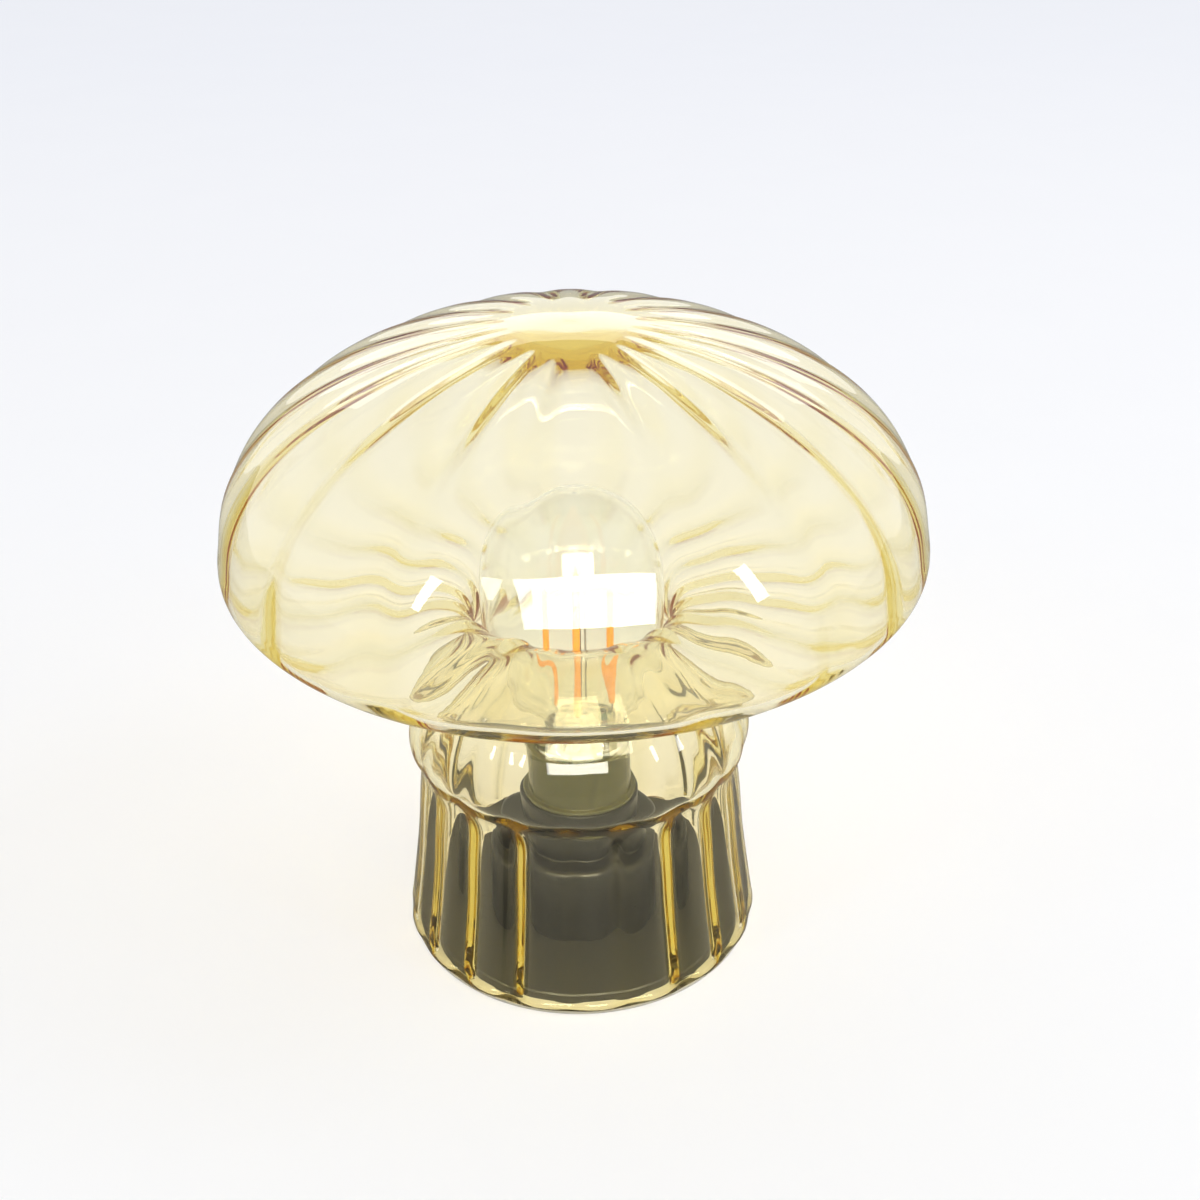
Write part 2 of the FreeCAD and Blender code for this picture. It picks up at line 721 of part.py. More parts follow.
def routed_wire(points):
    """A round wire of straight runs and tangent arcs through a route's corners."""
    edges = []
    start = points[0]
    for before, corner, after in zip(points, points[1:], points[2:]):
        back = (before - corner).normalize()
        ahead = (after - corner).normalize()
        half = back.getAngle(ahead) / 2
        setback = wire_bend / math.tan(half)
        middle = corner + (back + ahead).normalize() * (wire_bend / math.sin(half) - wire_bend)
        enter = corner + back * setback
        leave = corner + ahead * setback
        edges.append(Part.LineSegment(start, enter).toShape())
        edges.append(Part.Arc(enter, middle, leave).toShape())
        start = leave
    edges.append(Part.LineSegment(start, points[-1]).toShape())
    spine = Part.Wire(edges)
    section = Part.Wire(Part.Circle(points[0], points[1] - points[0], wire_radius).toShape())
    tube = spine.makePipeShell([section], True, True)
    print("wire", round(tube.Volume, 2), "section x length",
          round(math.pi * wire_radius ** 2 * spine.Length, 2))
    return tube


def switch_wire(pin, side):
    """From a switch pin up through the holder's groove to the board."""
    x_pin = pin * pin_pitch
    x_top = side * wire_pitch / 2
    pin_top = switch_top + pin_length
    y_top = wire_depth - holder_radius
    turn_low = pin_top + wire_rise
    turn_high = turn_low + wire_slant
    return routed_wire([V(x_pin, switch_y, pin_top), V(x_pin, switch_y, turn_low),
                        V(x_top, y_top, turn_high), V(x_top, y_top, board_bottom)])


# ---------------------------------------------------------------- bulb

def bulb_envelope():
    """A thin clear shell of revolution, round on top and drawn in to its seat."""
    dome_centre = bulb_top - bulb_radius
    waist = dome_centre - bulb_straight
    stations = [(bulb_neck, bulb_seat), (bulb_neck, bulb_seat + 2.5)]
    for share_r, share_z in ((0.17, 0.1), (0.52, 0.29), (0.8, 0.53), (0.96, 0.79), (1.0, 1.0)):
        stations.append((mixed(bulb_neck, bulb_radius, share_r),
                         mixed(bulb_seat + 2.5, waist, share_z)))
    stations.append((bulb_radius, dome_centre))
    for degrees in (18, 36, 54, 72, 90):
        angle = math.radians(degrees)
        stations.append((bulb_radius * math.cos(angle), dome_centre + bulb_radius * math.sin(angle)))
    outer = Part.BSplineCurve()
    outer.interpolate([V(radius, 0, height) for radius, height in stations])
    count = 40
    inset = []
    for step in range(count + 1):
        parameter = mixed(outer.FirstParameter, outer.LastParameter, step / count)
        at = outer.value(parameter)
        along = outer.tangent(parameter)[0]
        inset.append(V(at.x - bulb_wall * along.z, 0, at.z + bulb_wall * along.x))
    inset[0] = V(bulb_neck - bulb_wall, 0, bulb_seat)
    inset[-1] = V(0, 0, bulb_top - bulb_wall)
    inner = Part.BSplineCurve()
    inner.interpolate(inset)
    start, end = V(bulb_neck, 0, bulb_seat), V(0, 0, bulb_top)
    outline = Part.Wire([outer.toShape(), Part.LineSegment(end, inset[-1]).toShape(), inner.toShape(),
                         Part.LineSegment(inset[0], start).toShape()])
    return Part.Face(outline).revolve(ORIGIN, UP, 360)


def bulb_mount():
    """The glass foot that closes the bulb and carries the filaments on a thin rod."""
    flare = bulb_neck - bulb_wall - bulb_seat_clearance
    outline = [V(0, 0, bulb_seat), V(flare, 0, bulb_seat), V(flare, 0, bulb_seat + 0.9),
               V(mount_radius, 0, bulb_seat + 4.0), V(mount_radius, 0, mount_top - 0.6),
               V(mount_radius - 0.6, 0, mount_top), V(0, 0, mount_top)]
    body = Part.Face(Part.makePolygon(outline + [outline[0]])).revolve(ORIGIN, UP, 360)
    body = joined([body, disc(rod_radius, mount_top - 0.5, top_support)])
    bores = [disc(lead_radius + 0.02, bulb_seat - 1, mount_top + 1, around(anode_pitch, 45)),
             disc(lead_radius + 0.02, bulb_seat - 1, mount_top + 1, around(cathode_pitch, 225))]
    return body.cut(bores)


def filament(index):
    return disc(filament_radius, filament_bottom, filament_top,
                around(filament_circle, filament_azimuths[index]))


def support_arms(level, end):
    """Wires from the hub out over the filaments, each with a stub to its filament."""
    arms = []
    for azimuth in filament_azimuths:
        root = around(support_hub / 2, azimuth, level)
        tip = around(filament_circle, azimuth, level)
        arms.append(Part.makeCylinder(support_wire, filament_circle - support_hub / 2, root, tip - root))
        arms.append(disc(support_wire, min(level, end), max(level, end), tip))
    return arms


def bottom_support():
    hub = disc(support_hub, support_low, support_low + hub_height)
    body = joined([hub] + support_arms(support_level, filament_bottom))
    return body.cut(disc(rod_radius + 0.02, support_low - 1, support_low + hub_height + 1))


def top_cross():
    hub = disc(anode_pitch + 2 * lead_radius, top_support, top_support + 2 * support_wire)
    return joined([hub] + support_arms(top_support + support_wire, filament_top))


def anode_lead():
    return disc(lead_radius, board_top, top_support, around(anode_pitch, 45))


def cathode_lead():
    return disc(lead_radius, board_top, support_low, around(cathode_pitch, 225))


# ---------------------------------------------------------------- build

os.makedirs("parts", exist_ok=True)

for node in (glass_body, foot_ring, base_disc, battery_tube, screw_inserts, tube_screws, cell_holder,
             top_contact_single, top_spring, door_contact_single, door_springs, negative_strip,
             battery_door, switch_frame, switch_base, switch_slider, switch_pins, lamp_socket,
             driver_board, board_screws, timer_chip, timing_crystal, chip_resistors, chip_capacitors,
             bulb_envelope, bulb_mount, bottom_support, top_cross, anode_lead, cathode_lead):
    save(node.__name__, node())

for index in range(len(cell_azimuths)):
    save("battery_cell_" + str(index + 1), battery_cell(index))

for index in range(len(filament_azimuths)):
    save("filament_" + str(index + 1), filament(index))

save("top_contact_link", link_plate(cell_azimuths[1:], holder_top))
save("door_contact_link", link_plate(cell_azimuths[:2], door_top))
save("door_screw_left", door_screw(-1))
save("door_screw_right", door_screw(1))
save("wire_red", switch_wire(0, -1))
save("wire_white", switch_wire(1, 1))
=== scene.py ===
import json
import math
import bpy
import numpy as np
from mathutils import Matrix, Vector

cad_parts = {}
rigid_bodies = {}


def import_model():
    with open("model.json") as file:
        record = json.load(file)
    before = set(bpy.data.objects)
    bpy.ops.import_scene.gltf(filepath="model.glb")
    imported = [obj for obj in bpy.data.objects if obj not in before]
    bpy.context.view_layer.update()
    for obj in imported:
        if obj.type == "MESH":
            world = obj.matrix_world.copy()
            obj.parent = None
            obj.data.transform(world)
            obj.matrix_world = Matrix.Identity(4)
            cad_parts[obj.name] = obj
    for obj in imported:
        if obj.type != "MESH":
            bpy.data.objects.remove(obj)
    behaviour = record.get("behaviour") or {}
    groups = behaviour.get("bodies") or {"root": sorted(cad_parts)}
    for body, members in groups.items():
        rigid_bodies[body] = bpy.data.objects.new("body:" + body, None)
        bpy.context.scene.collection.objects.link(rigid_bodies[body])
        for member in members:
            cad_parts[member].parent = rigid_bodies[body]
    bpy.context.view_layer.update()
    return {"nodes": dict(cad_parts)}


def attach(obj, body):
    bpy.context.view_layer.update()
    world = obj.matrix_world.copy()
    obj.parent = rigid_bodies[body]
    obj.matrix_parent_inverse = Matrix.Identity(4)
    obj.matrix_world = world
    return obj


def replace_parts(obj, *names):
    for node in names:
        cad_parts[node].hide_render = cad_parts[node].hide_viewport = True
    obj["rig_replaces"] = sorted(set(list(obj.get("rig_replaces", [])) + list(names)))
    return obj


# Mushroom table lamp: an optic-ribbed amber glass body over a clear filament bulb on a black
# battery tube. Shapes are worked out in millimetres, with the table at z = 0, and become metres
# when a mesh is made.

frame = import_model()

MM = 0.001

# ---------------------------------------------------------------- sizes of the glass body
cap_radius = 90.0
equator_height = 119.2
crown_rise = 59.5
glass_top = equator_height + crown_rise
crown_round_r = 1.716        # super-ellipse exponents of the upper cap, across
crown_round_z = 2.418        # and up
base_radius = 50.1
crease_radius = 44.2
crease_height = 53.6
collar_radius = 46.9
collar_height = 63.0
neck_radius = 28.6
neck_height = 95.5
floor_height = 105.0
rim_height = 1.0
wall = 2.6                   # glass between the ribs, in the stem
cap_wall = 1.5               # and in the cap
crown_wall = 4.8             # and in the crown
crown_thins = (2.0, 36.0)    # radii between which the crown thins to the cap
crown_disc = 24.0            # plain disc in the crown
disc_edge = 8.0              # half the width in which the ribs rise at its edge
rib_fade = 70.0              # radius where a rib of the crown has thinned to that of the cap
rib_count = 18
rib_height = 2.4             # ribs in the stem
rib_collar = 0.4             # in the collar
rib_neck = 0.35              # in the neck
rib_cap = 1.2                # on top of the cap
rib_crown = 2.2              # beside the plain disc
rib_under = 1.1              # under the cap
rib_power = (3.2, 3.5)       # the higher, the narrower the ribs: in the stem, in the cap
valley_depth = 0.5           # outer groove over each rib
rib_lean = -4.0              # azimuth of the stem's rib beside the front, in degrees to its right
cap_ribs = (-10, 22, 42, 60, 76, 91, 111, 131, 151, 171, 191, 211, 231, 251, 271, 285, 306,
            331)             # azimuths of the ribs in the cap
front_shares = (0.3, 0.5)    # the two front ribs are shallower than the rest
groove_rise = 30.0           # height above the equator where the groove is whole again
under_rise = 10.0            # height above the equator where a rib has its height on top
crease_blend = 6.0           # half the height in which ribs sink from the stem to the collar
neck_blend = 10.0            # height under the neck where the stem's wall starts to thin
lean_start = 20.0            # height under the neck where the ribs start to lean over
lean_end = 4.0               # height above the cap's floor where they are at their azimuths
skirt_flare = 1.35           # the higher, the later the skirt widens
skirt_shares = (1, 0.68, 0.36, 0.1)
shoulder_shares = ((0.27, 0.415), (0.62, 0.63), (0.9, 0.815), (1.0, 1.0))
underside_shares = ((0.25, 0.0), (0.48, 0.05), (0.675, 0.15), (0.815, 0.33), (0.91, 0.57),
                    (0.974, 0.82), (1.0, 1.0))
crown_angles = (4, 10, 18, 27, 37, 48, 60, 72, 82)
skin_rows = 144
columns_per_rib = 18
column_crowding = 1.5        # the higher, the closer the columns stand about a rib
row_crowding = 9.0           # millimetres of profile that one radian of turn counts for
profile_samples = 6000
rim_round = 0.7              # softened edge of the ground rim
pole_radius = 1e-6           # a profile point this near the axis is a pole


# ---------------------------------------------------------------- shapes

def smooth(low, high, value):
    """0 below low, 1 above high, and 3t^2 - 2t^3 between them."""
    t = np.clip((value - low) / (high - low), 0.0, 1.0)
    return t * t * (3 - 2 * t)


def mixed(a, b, share):
    """The value a share of the way from a to b."""
    return a + (b - a) * share


def spline(stations, samples):
    """A natural cubic spline through stations, by chord length: the second derivatives solve the
    usual three-band system, and each sample mixes its two stations and their second derivatives."""
    points = np.array(stations, float)
    steps = np.hypot(*np.diff(points, axis=0).T)
    knots = np.concatenate([[0.0], np.cumsum(steps)])
    count = len(points)
    bands = np.eye(count)
    inner = np.arange(1, count - 1)
    bands[inner, inner - 1] = steps[:-1]
    bands[inner, inner] = 2 * (steps[:-1] + steps[1:])
    bands[inner, inner + 1] = steps[1:]
    slopes = np.diff(points, axis=0) / steps[:, None]
    right = np.zeros_like(points)
    right[1:-1] = 6 * np.diff(slopes, axis=0)
    bend = np.linalg.solve(bands, right)
    at = mixed(knots[0], knots[-1], np.asarray(samples))
    left = np.clip(np.searchsorted(knots, at, side="right") - 1, 0, count - 2)
    size = steps[left][:, None]
    after = (at[:, None] - knots[left][:, None]) / size
    before = 1 - after
    bent = (before ** 3 - before) * bend[left] + (after ** 3 - after) * bend[left + 1]
    return before * points[left] + after * points[left + 1] + size ** 2 / 6 * bent


def evened(line, count, curl=0.0):
    """Points of a dense line at even steps of its length, closer together where it turns: each step
    counts as its length plus curl times the angle that the line turns in it."""
    run = np.diff(line, axis=0)
    length = np.hypot(*run.T)
    heading = np.unwrap(np.arctan2(run[:, 1], run[:, 0]))
    turn = np.abs(np.gradient(heading))
    weight = np.concatenate([[0.0], np.cumsum(length + curl * turn)])
    goal = np.linspace(0, weight[-1], count)
    return np.column_stack([np.interp(goal, weight, line[:, 0]),
                            np.interp(goal, weight, line[:, 1])])


def normals_of(line):
    """Unit normals to the right of a line's direction of travel, from central differences."""
    along = np.gradient(line, axis=0)
    along /= np.hypot(*along.T)[:, None]
    return np.column_stack([along[:, 1], -along[:, 0]])


def mesh_piece(name, points, faces, body, material, replaced=()):
    """A smooth-shaded mesh of millimetre points that rides on a body."""
    mesh = bpy.data.meshes.new(name)
    corners = [face for group in faces for face in np.asarray(group).tolist()]
    mesh.from_pydata((np.asarray(points) * MM).tolist(), [], corners)
    mesh.polygons.foreach_set("use_smooth", np.ones(len(mesh.polygons), bool))
    mesh.materials.append(material)
    mesh.validate()
    mesh.update()
    piece = bpy.data.objects.new(name, mesh)
    bpy.context.scene.collection.objects.link(piece)
    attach(piece, body)
    if replaced:
        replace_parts(piece, *replaced)
    return piece


def wrapped_faces(rows, columns, first=0):
    """Quads of a grid that closes on itself along its columns: corners (i, j), (i, j+1),
    (i+1, j+1), (i+1, j), with j+1 taken round the end."""
    i, j = np.meshgrid(np.arange(rows - 1), np.arange(columns), indexing="ij")
    beside = (j + 1) % columns
    quads = np.stack([i * columns + j, i * columns + beside,
                      (i + 1) * columns + beside, (i + 1) * columns + j], axis=-1)
    return quads.reshape(-1, 4) + first


def fan(pole, ring_start, columns, flip):
    """Triangles from a pole to each step of a ring."""
    j = np.arange(columns)
    beside = (j + 1) % columns
    order = (beside, j) if flip else (j, beside)
    return np.column_stack([np.full(columns, pole), ring_start + order[0],
                            ring_start + order[1]])


def lathe(profile, columns):
    """A profile of (radius, height) rows turned about the axis: x = r cos a, y = r sin a. A row on
    the axis at either end becomes one pole. The profile runs so that its right side is outside."""
    profile = np.asarray(profile, float)
    start_pole = profile[0, 0] < pole_radius
    end_pole = profile[-1, 0] < pole_radius
    rows = profile[int(start_pole):len(profile) - int(end_pole)]
    angle = 2 * math.pi * np.arange(columns) / columns
    grid = np.stack([rows[:, :1] * np.cos(angle), rows[:, :1] * np.sin(angle),
                     np.repeat(rows[:, 1:], columns, axis=1)], axis=-1)
    points = grid.reshape(-1, 3)
    faces = [wrapped_faces(len(rows), columns)]
    if start_pole:
        faces.append(fan(len(points), 0, columns, True))
        points = np.vstack([points, [0, 0, profile[0, 1]]])
    if end_pole:
        faces.append(fan(len(points), (len(rows) - 1) * columns, columns, False))
        points = np.vstack([points, [0, 0, profile[-1, 1]]])
    return points, faces


def closed_lathe(profile, columns):
    """A ring whose profile closes on itself, turned about the axis."""
    profile = np.asarray(profile, float)
    angle = 2 * math.pi * np.arange(columns) / columns
    grid = np.stack([profile[:, :1] * np.cos(angle), profile[:, :1] * np.sin(angle),
                     np.repeat(profile[:, 1:], columns, axis=1)], axis=-1)
    points = grid.reshape(-1, 3)
    i, j = np.meshgrid(np.arange(len(profile)), np.arange(columns), indexing="ij")
    next_i, next_j = (i + 1) % len(profile), (j + 1) % columns
    quads = np.stack([i * columns + j, i * columns + next_j,
                      next_i * columns + next_j, next_i * columns + j], axis=-1)
    return points, [quads.reshape(-1, 4)]


def rounded(corners, steps=5):
    """A closed outline of (radius, height, rounding) corners with each corner replaced by a
    quadratic curve that starts and ends its rounding away along the two sides."""
    corners = np.asarray(corners, float)
    here = corners[:, :2]
    before = np.roll(here, 1, axis=0) - here
    after = np.roll(here, -1, axis=0) - here
    before /= np.hypot(*before.T)[:, None]
    after /= np.hypot(*after.T)[:, None]
    size = corners[:, 2:]
    t = np.linspace(0, 1, steps)[None, :, None]
    enter = (here + before * size)[:, None, :]
    leave = (here + after * size)[:, None, :]
    curve = (1 - t) ** 2 * enter + 2 * t * (1 - t) * here[:, None, :] + t ** 2 * leave
    return curve.reshape(-1, 2)


def rod(start, end, radius, columns=12, rings=2, swell=None):
    """A round bar between two points, its ends closed by poles. swell gives the radius at a share
    of the length, as a share of the bar's."""
    start, end = np.array(start, float), np.array(end, float)
    axis = (end - start) / np.linalg.norm(end - start)
    side = np.cross(axis, [0, 0, 1] if abs(axis[2]) < 0.9 else [1, 0, 0])
    side /= np.linalg.norm(side)
    other = np.cross(axis, side)
    share = np.linspace(0, 1, rings)
    radii = radius * (np.ones(rings) if swell is None else swell(share))
    angle = 2 * math.pi * np.arange(columns) / columns
    round_about = np.cos(angle)[:, None] * side + np.sin(angle)[:, None] * other
    centres = start + share[:, None] * (end - start)
    points = (centres[:, None, :] + radii[:, None, None] * round_about[None]).reshape(-1, 3)
    faces = [wrapped_faces(rings, columns), fan(len(points), 0, columns, True),
             fan(len(points) + 1, (rings - 1) * columns, columns, False)]
    return np.vstack([points, start, end]), faces


def gathered(parts):
    """Several (points, faces) as one."""
    points, faces, offset = [], [], 0
    for some_points, some_faces in parts:
        points.append(some_points)
        faces += [np.asarray(group) + offset for group in some_faces]
        offset += len(some_points)
    return np.vstack(points), faces


# ---------------------------------------------------------------- the glass body

def glass_profile():
    """The outside of the glass between its grooves, from the rim up to the crown: a spline through
    stations. Bare lengths are millimetres off a named radius or height."""
    skirt = [(mixed(crease_radius + 0.3, base_radius, share ** skirt_flare),
              mixed(crease_height - 4, rim_height, share)) for share in skirt_shares]
    crease = [(crease_radius, crease_height - 0.6), (crease_radius + 0.5, crease_height + 1.8)]
    bead = [(mixed(crease_radius, collar_radius, 0.68), crease_height + 4.8),
            (collar_radius, collar_height), (collar_radius - 0.9, collar_height + 6)]
    shoulder = [(mixed(collar_radius, neck_radius, share_r),
                 mixed(collar_height, neck_height, share_z))
                for share_r, share_z in shoulder_shares]
    lip = [(neck_radius + 1.4, mixed(neck_height, floor_height, 0.54)),
           (neck_radius + 5.9, floor_height - 1.2)]
    underside = [(mixed(neck_radius, cap_radius, share_r),
                  mixed(floor_height, equator_height, share_z))
                 for share_r, share_z in underside_shares]
    angle = np.radians(crown_angles)
    across = cap_radius * np.cos(angle) ** (2 / crown_round_r)
    up = equator_height + crown_rise * np.sin(angle) ** (2 / crown_round_z)
    crown = np.column_stack([across, up]).tolist() + [(0.0, glass_top)]
    stations = skirt + crease + bead + shoulder + lip + underside + crown
    return spline(stations, np.linspace(0, 1, profile_samples))


def rib_columns(line, per_rib):
    """Azimuth of each grid point, and how far it is from its rib in shares of an even step. A rib
    stands at its even azimuth in the stem and leans over to its own azimuth in the cap. Columns
    run from half way to the rib before to half way to the next, crowded about the rib."""
    even = rib_lean + 360.0 / rib_count * np.arange(rib_count)
    lean = smooth(neck_height - lean_start, floor_height + lean_end, line[:, 1])
    ribs = mixed(even[None, :], np.array(cap_ribs)[None, :], lean[:, None])
    after = np.roll(ribs, -1, axis=1) - ribs
    after[:, -1] += 360
    before = np.roll(after, 1, axis=1)
    step = (np.arange(per_rib) + 0.5) / per_rib * 2 - 1
    u = (0.5 * np.sign(step) * np.abs(step) ** column_crowding)[None, None, :]
    gap = np.where(u > 0, after[:, :, None], before[:, :, None])
    azimuth = (ribs[:, :, None] + u * gap).reshape(len(line), -1)
    u = np.clip(u * np.maximum(gap * rib_count / 360.0, 1.0), -0.5, 0.5).reshape(len(line), -1)
    return np.radians(azimuth - 90), u


def glass_skin(line, azimuth, u, inside):
    """One skin of the glass: each point of the profile goes inwards along its normal, outside by a
    shallow groove over each rib, inside by the wall and the rib's crest. A crest is a power of
    cos(pi u), where u runs from -0.5 to 0.5 over a rib."""
    radius, height = line[:, 0], line[:, 1]
    normal = normals_of(line)
    upper = height > equator_height
    cap = smooth(neck_height - neck_blend, floor_height, height)
    ribbed = smooth(crown_disc - disc_edge, crown_disc + disc_edge, radius)
    shown = np.where(upper, ribbed, 1.0)
    collar_rib = mixed(rib_neck, rib_collar, smooth(neck_radius, crease_radius, radius))
    stem_rib = mixed(rib_height, collar_rib,
                     smooth(crease_height - crease_blend, crease_height + crease_blend, height))
    crown = np.where(upper, 1 - smooth(crown_disc, rib_fade, radius), 0.0)
    cap_rib = mixed(rib_under, mixed(rib_cap, rib_crown, crown),
                    smooth(floor_height, equator_height + under_rise, height))
    rib = mixed(stem_rib, cap_rib, cap) * shown
    disc = np.where(upper, 1 - smooth(*crown_thins, radius), 0.0)
    thick = mixed(mixed(wall, cap_wall, cap), crown_wall, disc)
    shares = front_shares + (1.0,) * (rib_count - len(front_shares))
    crest = np.cos(math.pi * u) ** mixed(rib_power[0], rib_power[1], cap)[:, None]
    crest = crest * np.repeat(shares, u.shape[1] // rib_count)[None, :]
    if inside:
        depth = thick[:, None] + rib[:, None] * crest
    else:
        risen = smooth(equator_height, equator_height + groove_rise, height)
        groove = shown * np.where(upper, risen, 1 - cap)
        depth = valley_depth * groove[:, None] * crest
    r = radius[:, None] - depth * normal[:, :1]
    z = height[:, None] - depth * normal[:, 1:]
    return np.stack([r * np.cos(azimuth), r * np.sin(azimuth), z], axis=-1)


def amber_body(material):
    """The whole body as one closed skin: up the outside from the rim to the crown's pole, and up
    the inside from the rim to the inner pole, with the ground rim between them."""
    line = evened(glass_profile(), skin_rows + 1, curl=row_crowding)[:-1]
    azimuth, u = rib_columns(line, columns_per_rib)
    columns = azimuth.shape[1]
    outer = glass_skin(line, azimuth, u, False)
    inner = glass_skin(line, azimuth, u, True)
    for skin in (outer, inner):
        skin[0, :, 2] = rim_height
    edge = outer[0].copy()
    outer[0, :, :2] *= 1 - rim_round / base_radius
    edge[:, 2] += rim_round
    below = outer[1:, :, 2].min(axis=1) > rim_height + rim_round
    outer = np.concatenate([outer[:1], edge[None], outer[1:][below]])
    grid = np.concatenate([inner[::-1], outer])
    points = grid.reshape(-1, 3)
    inner_pole, outer_pole = len(points), len(points) + 1
    points = np.vstack([points, [0, 0, glass_top - crown_wall], [0, 0, glass_top]])
    faces = [wrapped_faces(len(grid), columns), fan(inner_pole, 0, columns, True),
             fan(outer_pole, (len(grid) - 1) * columns, columns, False)]
    return mesh_piece("amber_body", points, faces, "root", material, ["glass_body"])


# ---------------------------------------------------------------- materials

painted_glow_depth = 20.5         # a ray that has turned more often than this stops and shows a painted amber glow instead of the glass
dull_spread = 0.2            # how far a finish's roughness strays, as a share


def linear(code):
    """An sRGB hex colour as linear red, green, blue and alpha."""
    parts = [int(code[i:i + 2], 16) / 255 for i in (1, 3, 5)]
    return [c / 12.92 if c <= 0.04045 else ((c + 0.055) / 1.055) ** 2.4 for c in parts] + [1.0]


def add(tree, kind, settings=(), links=()):
    """Adds a node, gives its properties and sockets their values and links its sockets."""
    made = tree.nodes.new(kind)
    for name, value in dict(settings).items():
        if isinstance(name, str) and name.islower() and hasattr(made, name):
            setattr(made, name, value)
        else:
            made.inputs[name].default_value = value
    for name, source in dict(links).items():
        tree.links.new(source, made.inputs[name])
    return made


def new_material(name):
    """An empty node material and its tree."""
    material = bpy.data.materials.new(name)
    material.use_nodes = True
    material.node_tree.nodes.clear()
    return material, material.node_tree


def blown_amber_glass():
    """Soda-lime glass coloured through, blown into a ribbed mould and fire polished: clear and
    glossy, straw-coloured through a thin wall and amber along the thick ribs. Where a ray has
    turned in the wall more often than the depth limit, the glass shows a painted amber glow:
    emission that stands in for the light the ribs would pass on."""
    material, tree = new_material("blown_amber_soda_lime_glass")
    place = add(tree, "ShaderNodeTexCoord")
    cord_marks = add(tree, "ShaderNodeTexNoise", {"Scale": 1 / (14 * MM), "Detail": 1.0},
                     {"Vector": place.outputs["Object"]})
    ripple = add(tree, "ShaderNodeBump", {"Strength": 0.25, "Distance": 0.3 * MM},
                 {"Height": cord_marks.outputs["Fac"]})
    glass = add(tree, "ShaderNodeBsdfPrincipled",
                {"Base Color": linear("#FFFDF6"), "Roughness": 0.0, "IOR": 1.52,
                 "Transmission Weight": 1.0},
                {"Normal": ripple.outputs["Normal"]})
    passing = add(tree, "ShaderNodeBsdfTransparent", {"Color": linear("#FBF4DC")})
    ray = add(tree, "ShaderNodeLightPath")
    trapped = add(tree, "ShaderNodeMath", {"operation": "GREATER_THAN", 1: painted_glow_depth},
                  {0: ray.outputs["Ray Depth"]})
    # Painted amber glow: the glass emits amber on rays that have turned past the limit, in place of
    # the light the ribs pass on.
    painted_amber_glow = add(tree, "ShaderNodeEmission", {"Color": linear("#C98A1C"), "Strength": 1.0})
    clear = add(tree, "ShaderNodeMixShader", (), {"Fac": trapped.outputs[0],
                                                  1: glass.outputs[0], 2: painted_amber_glow.outputs[0]})
    either = add(tree, "ShaderNodeMixShader", (), {"Fac": ray.outputs["Is Shadow Ray"],
                                                   1: clear.outputs[0], 2: passing.outputs[0]})
    tint = add(tree, "ShaderNodeVolumeAbsorption", {"Color": [0.89, 0.77, 0.0, 1.0],
                                                    "Density": 64.0})
    add(tree, "ShaderNodeOutputMaterial", (), {"Surface": either.outputs[0],
                                               "Volume": tint.outputs[0]})
    return material


def blown_clear_glass():
    """Thin clear soda-lime bulb glass: nearly unseen but for its edge and its reflections."""
    material, tree = new_material("thin_clear_bulb_glass")
    place = add(tree, "ShaderNodeTexCoord")
    waves = add(tree, "ShaderNodeTexNoise", {"Scale": 1 / (18 * MM), "Detail": 0.0},
                {"Vector": place.outputs["Object"]})
    ripple = add(tree, "ShaderNodeBump", {"Strength": 0.05, "Distance": 0.2 * MM},
                 {"Height": waves.outputs["Fac"]})
    glass = add(tree, "ShaderNodeBsdfPrincipled",
                {"Base Color": linear("#FDFEFD"), "Roughness": 0.0, "IOR": 1.5,
                 "Transmission Weight": 1.0},
                {"Normal": ripple.outputs["Normal"]})
    passing = add(tree, "ShaderNodeBsdfTransparent", {"Color": linear("#F8FBF8")})
    ray = add(tree, "ShaderNodeLightPath")
    either = add(tree, "ShaderNodeMixShader", (), {"Fac": ray.outputs["Is Shadow Ray"],
                                                   1: glass.outputs[0], 2: passing.outputs[0]})
    add(tree, "ShaderNodeOutputMaterial", (), {"Surface": either.outputs[0]})
    return material


def finish_of(name, dark, light, grain, roughness, metallic=0.0, ior=1.5, bump=0.02,
              stretch=(1, 1, 1)):
    """A solid finish whose colour and roughness vary between two tones with a grain of that many
    millimetres, and whose surface is that uneven, also in millimetres."""
    material, tree = new_material(name)
    place = add(tree, "ShaderNodeTexCoord")
    laid = add(tree, "ShaderNodeMapping", {"Scale": stretch}, {"Vector": place.outputs["Object"]})
    mottle = add(tree, "ShaderNodeTexNoise", {"Scale": 1 / (grain * MM), "Detail": 4.0},
                 {"Vector": laid.outputs[0]})
    tone = add(tree, "ShaderNodeMix", {"data_type": "RGBA"}, {"Factor": mottle.outputs["Fac"]})
    tone.inputs[6].default_value = linear(dark)
    tone.inputs[7].default_value = linear(light)
    dull = add(tree, "ShaderNodeMapRange", {"To Min": roughness * (1 - dull_spread),
                                            "To Max": roughness * (1 + dull_spread)},
               {"Value": mottle.outputs["Fac"]})
    uneven = add(tree, "ShaderNodeBump", {"Strength": 0.6, "Distance": bump * MM},
                 {"Height": mottle.outputs["Fac"]})
    shine = add(tree, "ShaderNodeBsdfPrincipled", {"Metallic": metallic, "IOR": ior},
                {"Base Color": tone.outputs[2], "Roughness": dull.outputs[0],
                 "Normal": uneven.outputs["Normal"]})
    add(tree, "ShaderNodeOutputMaterial", (), {"Surface": shine.outputs[0]})
    return material


amber_glass = blown_amber_glass()
bulb_clear = blown_clear_glass()
# Moulded ABS: black, with the soft sheen of a smooth mould.
black_abs = finish_of("moulded_black_abs", "#0A0A0A", "#0E0E0E", 0.9, 0.3, bump=0.001)
# The same from a spark-eroded mould: matt and a little greyer.
grained_abs = finish_of("grained_black_abs", "#1D1D1B", "#262624", 0.6, 0.45)
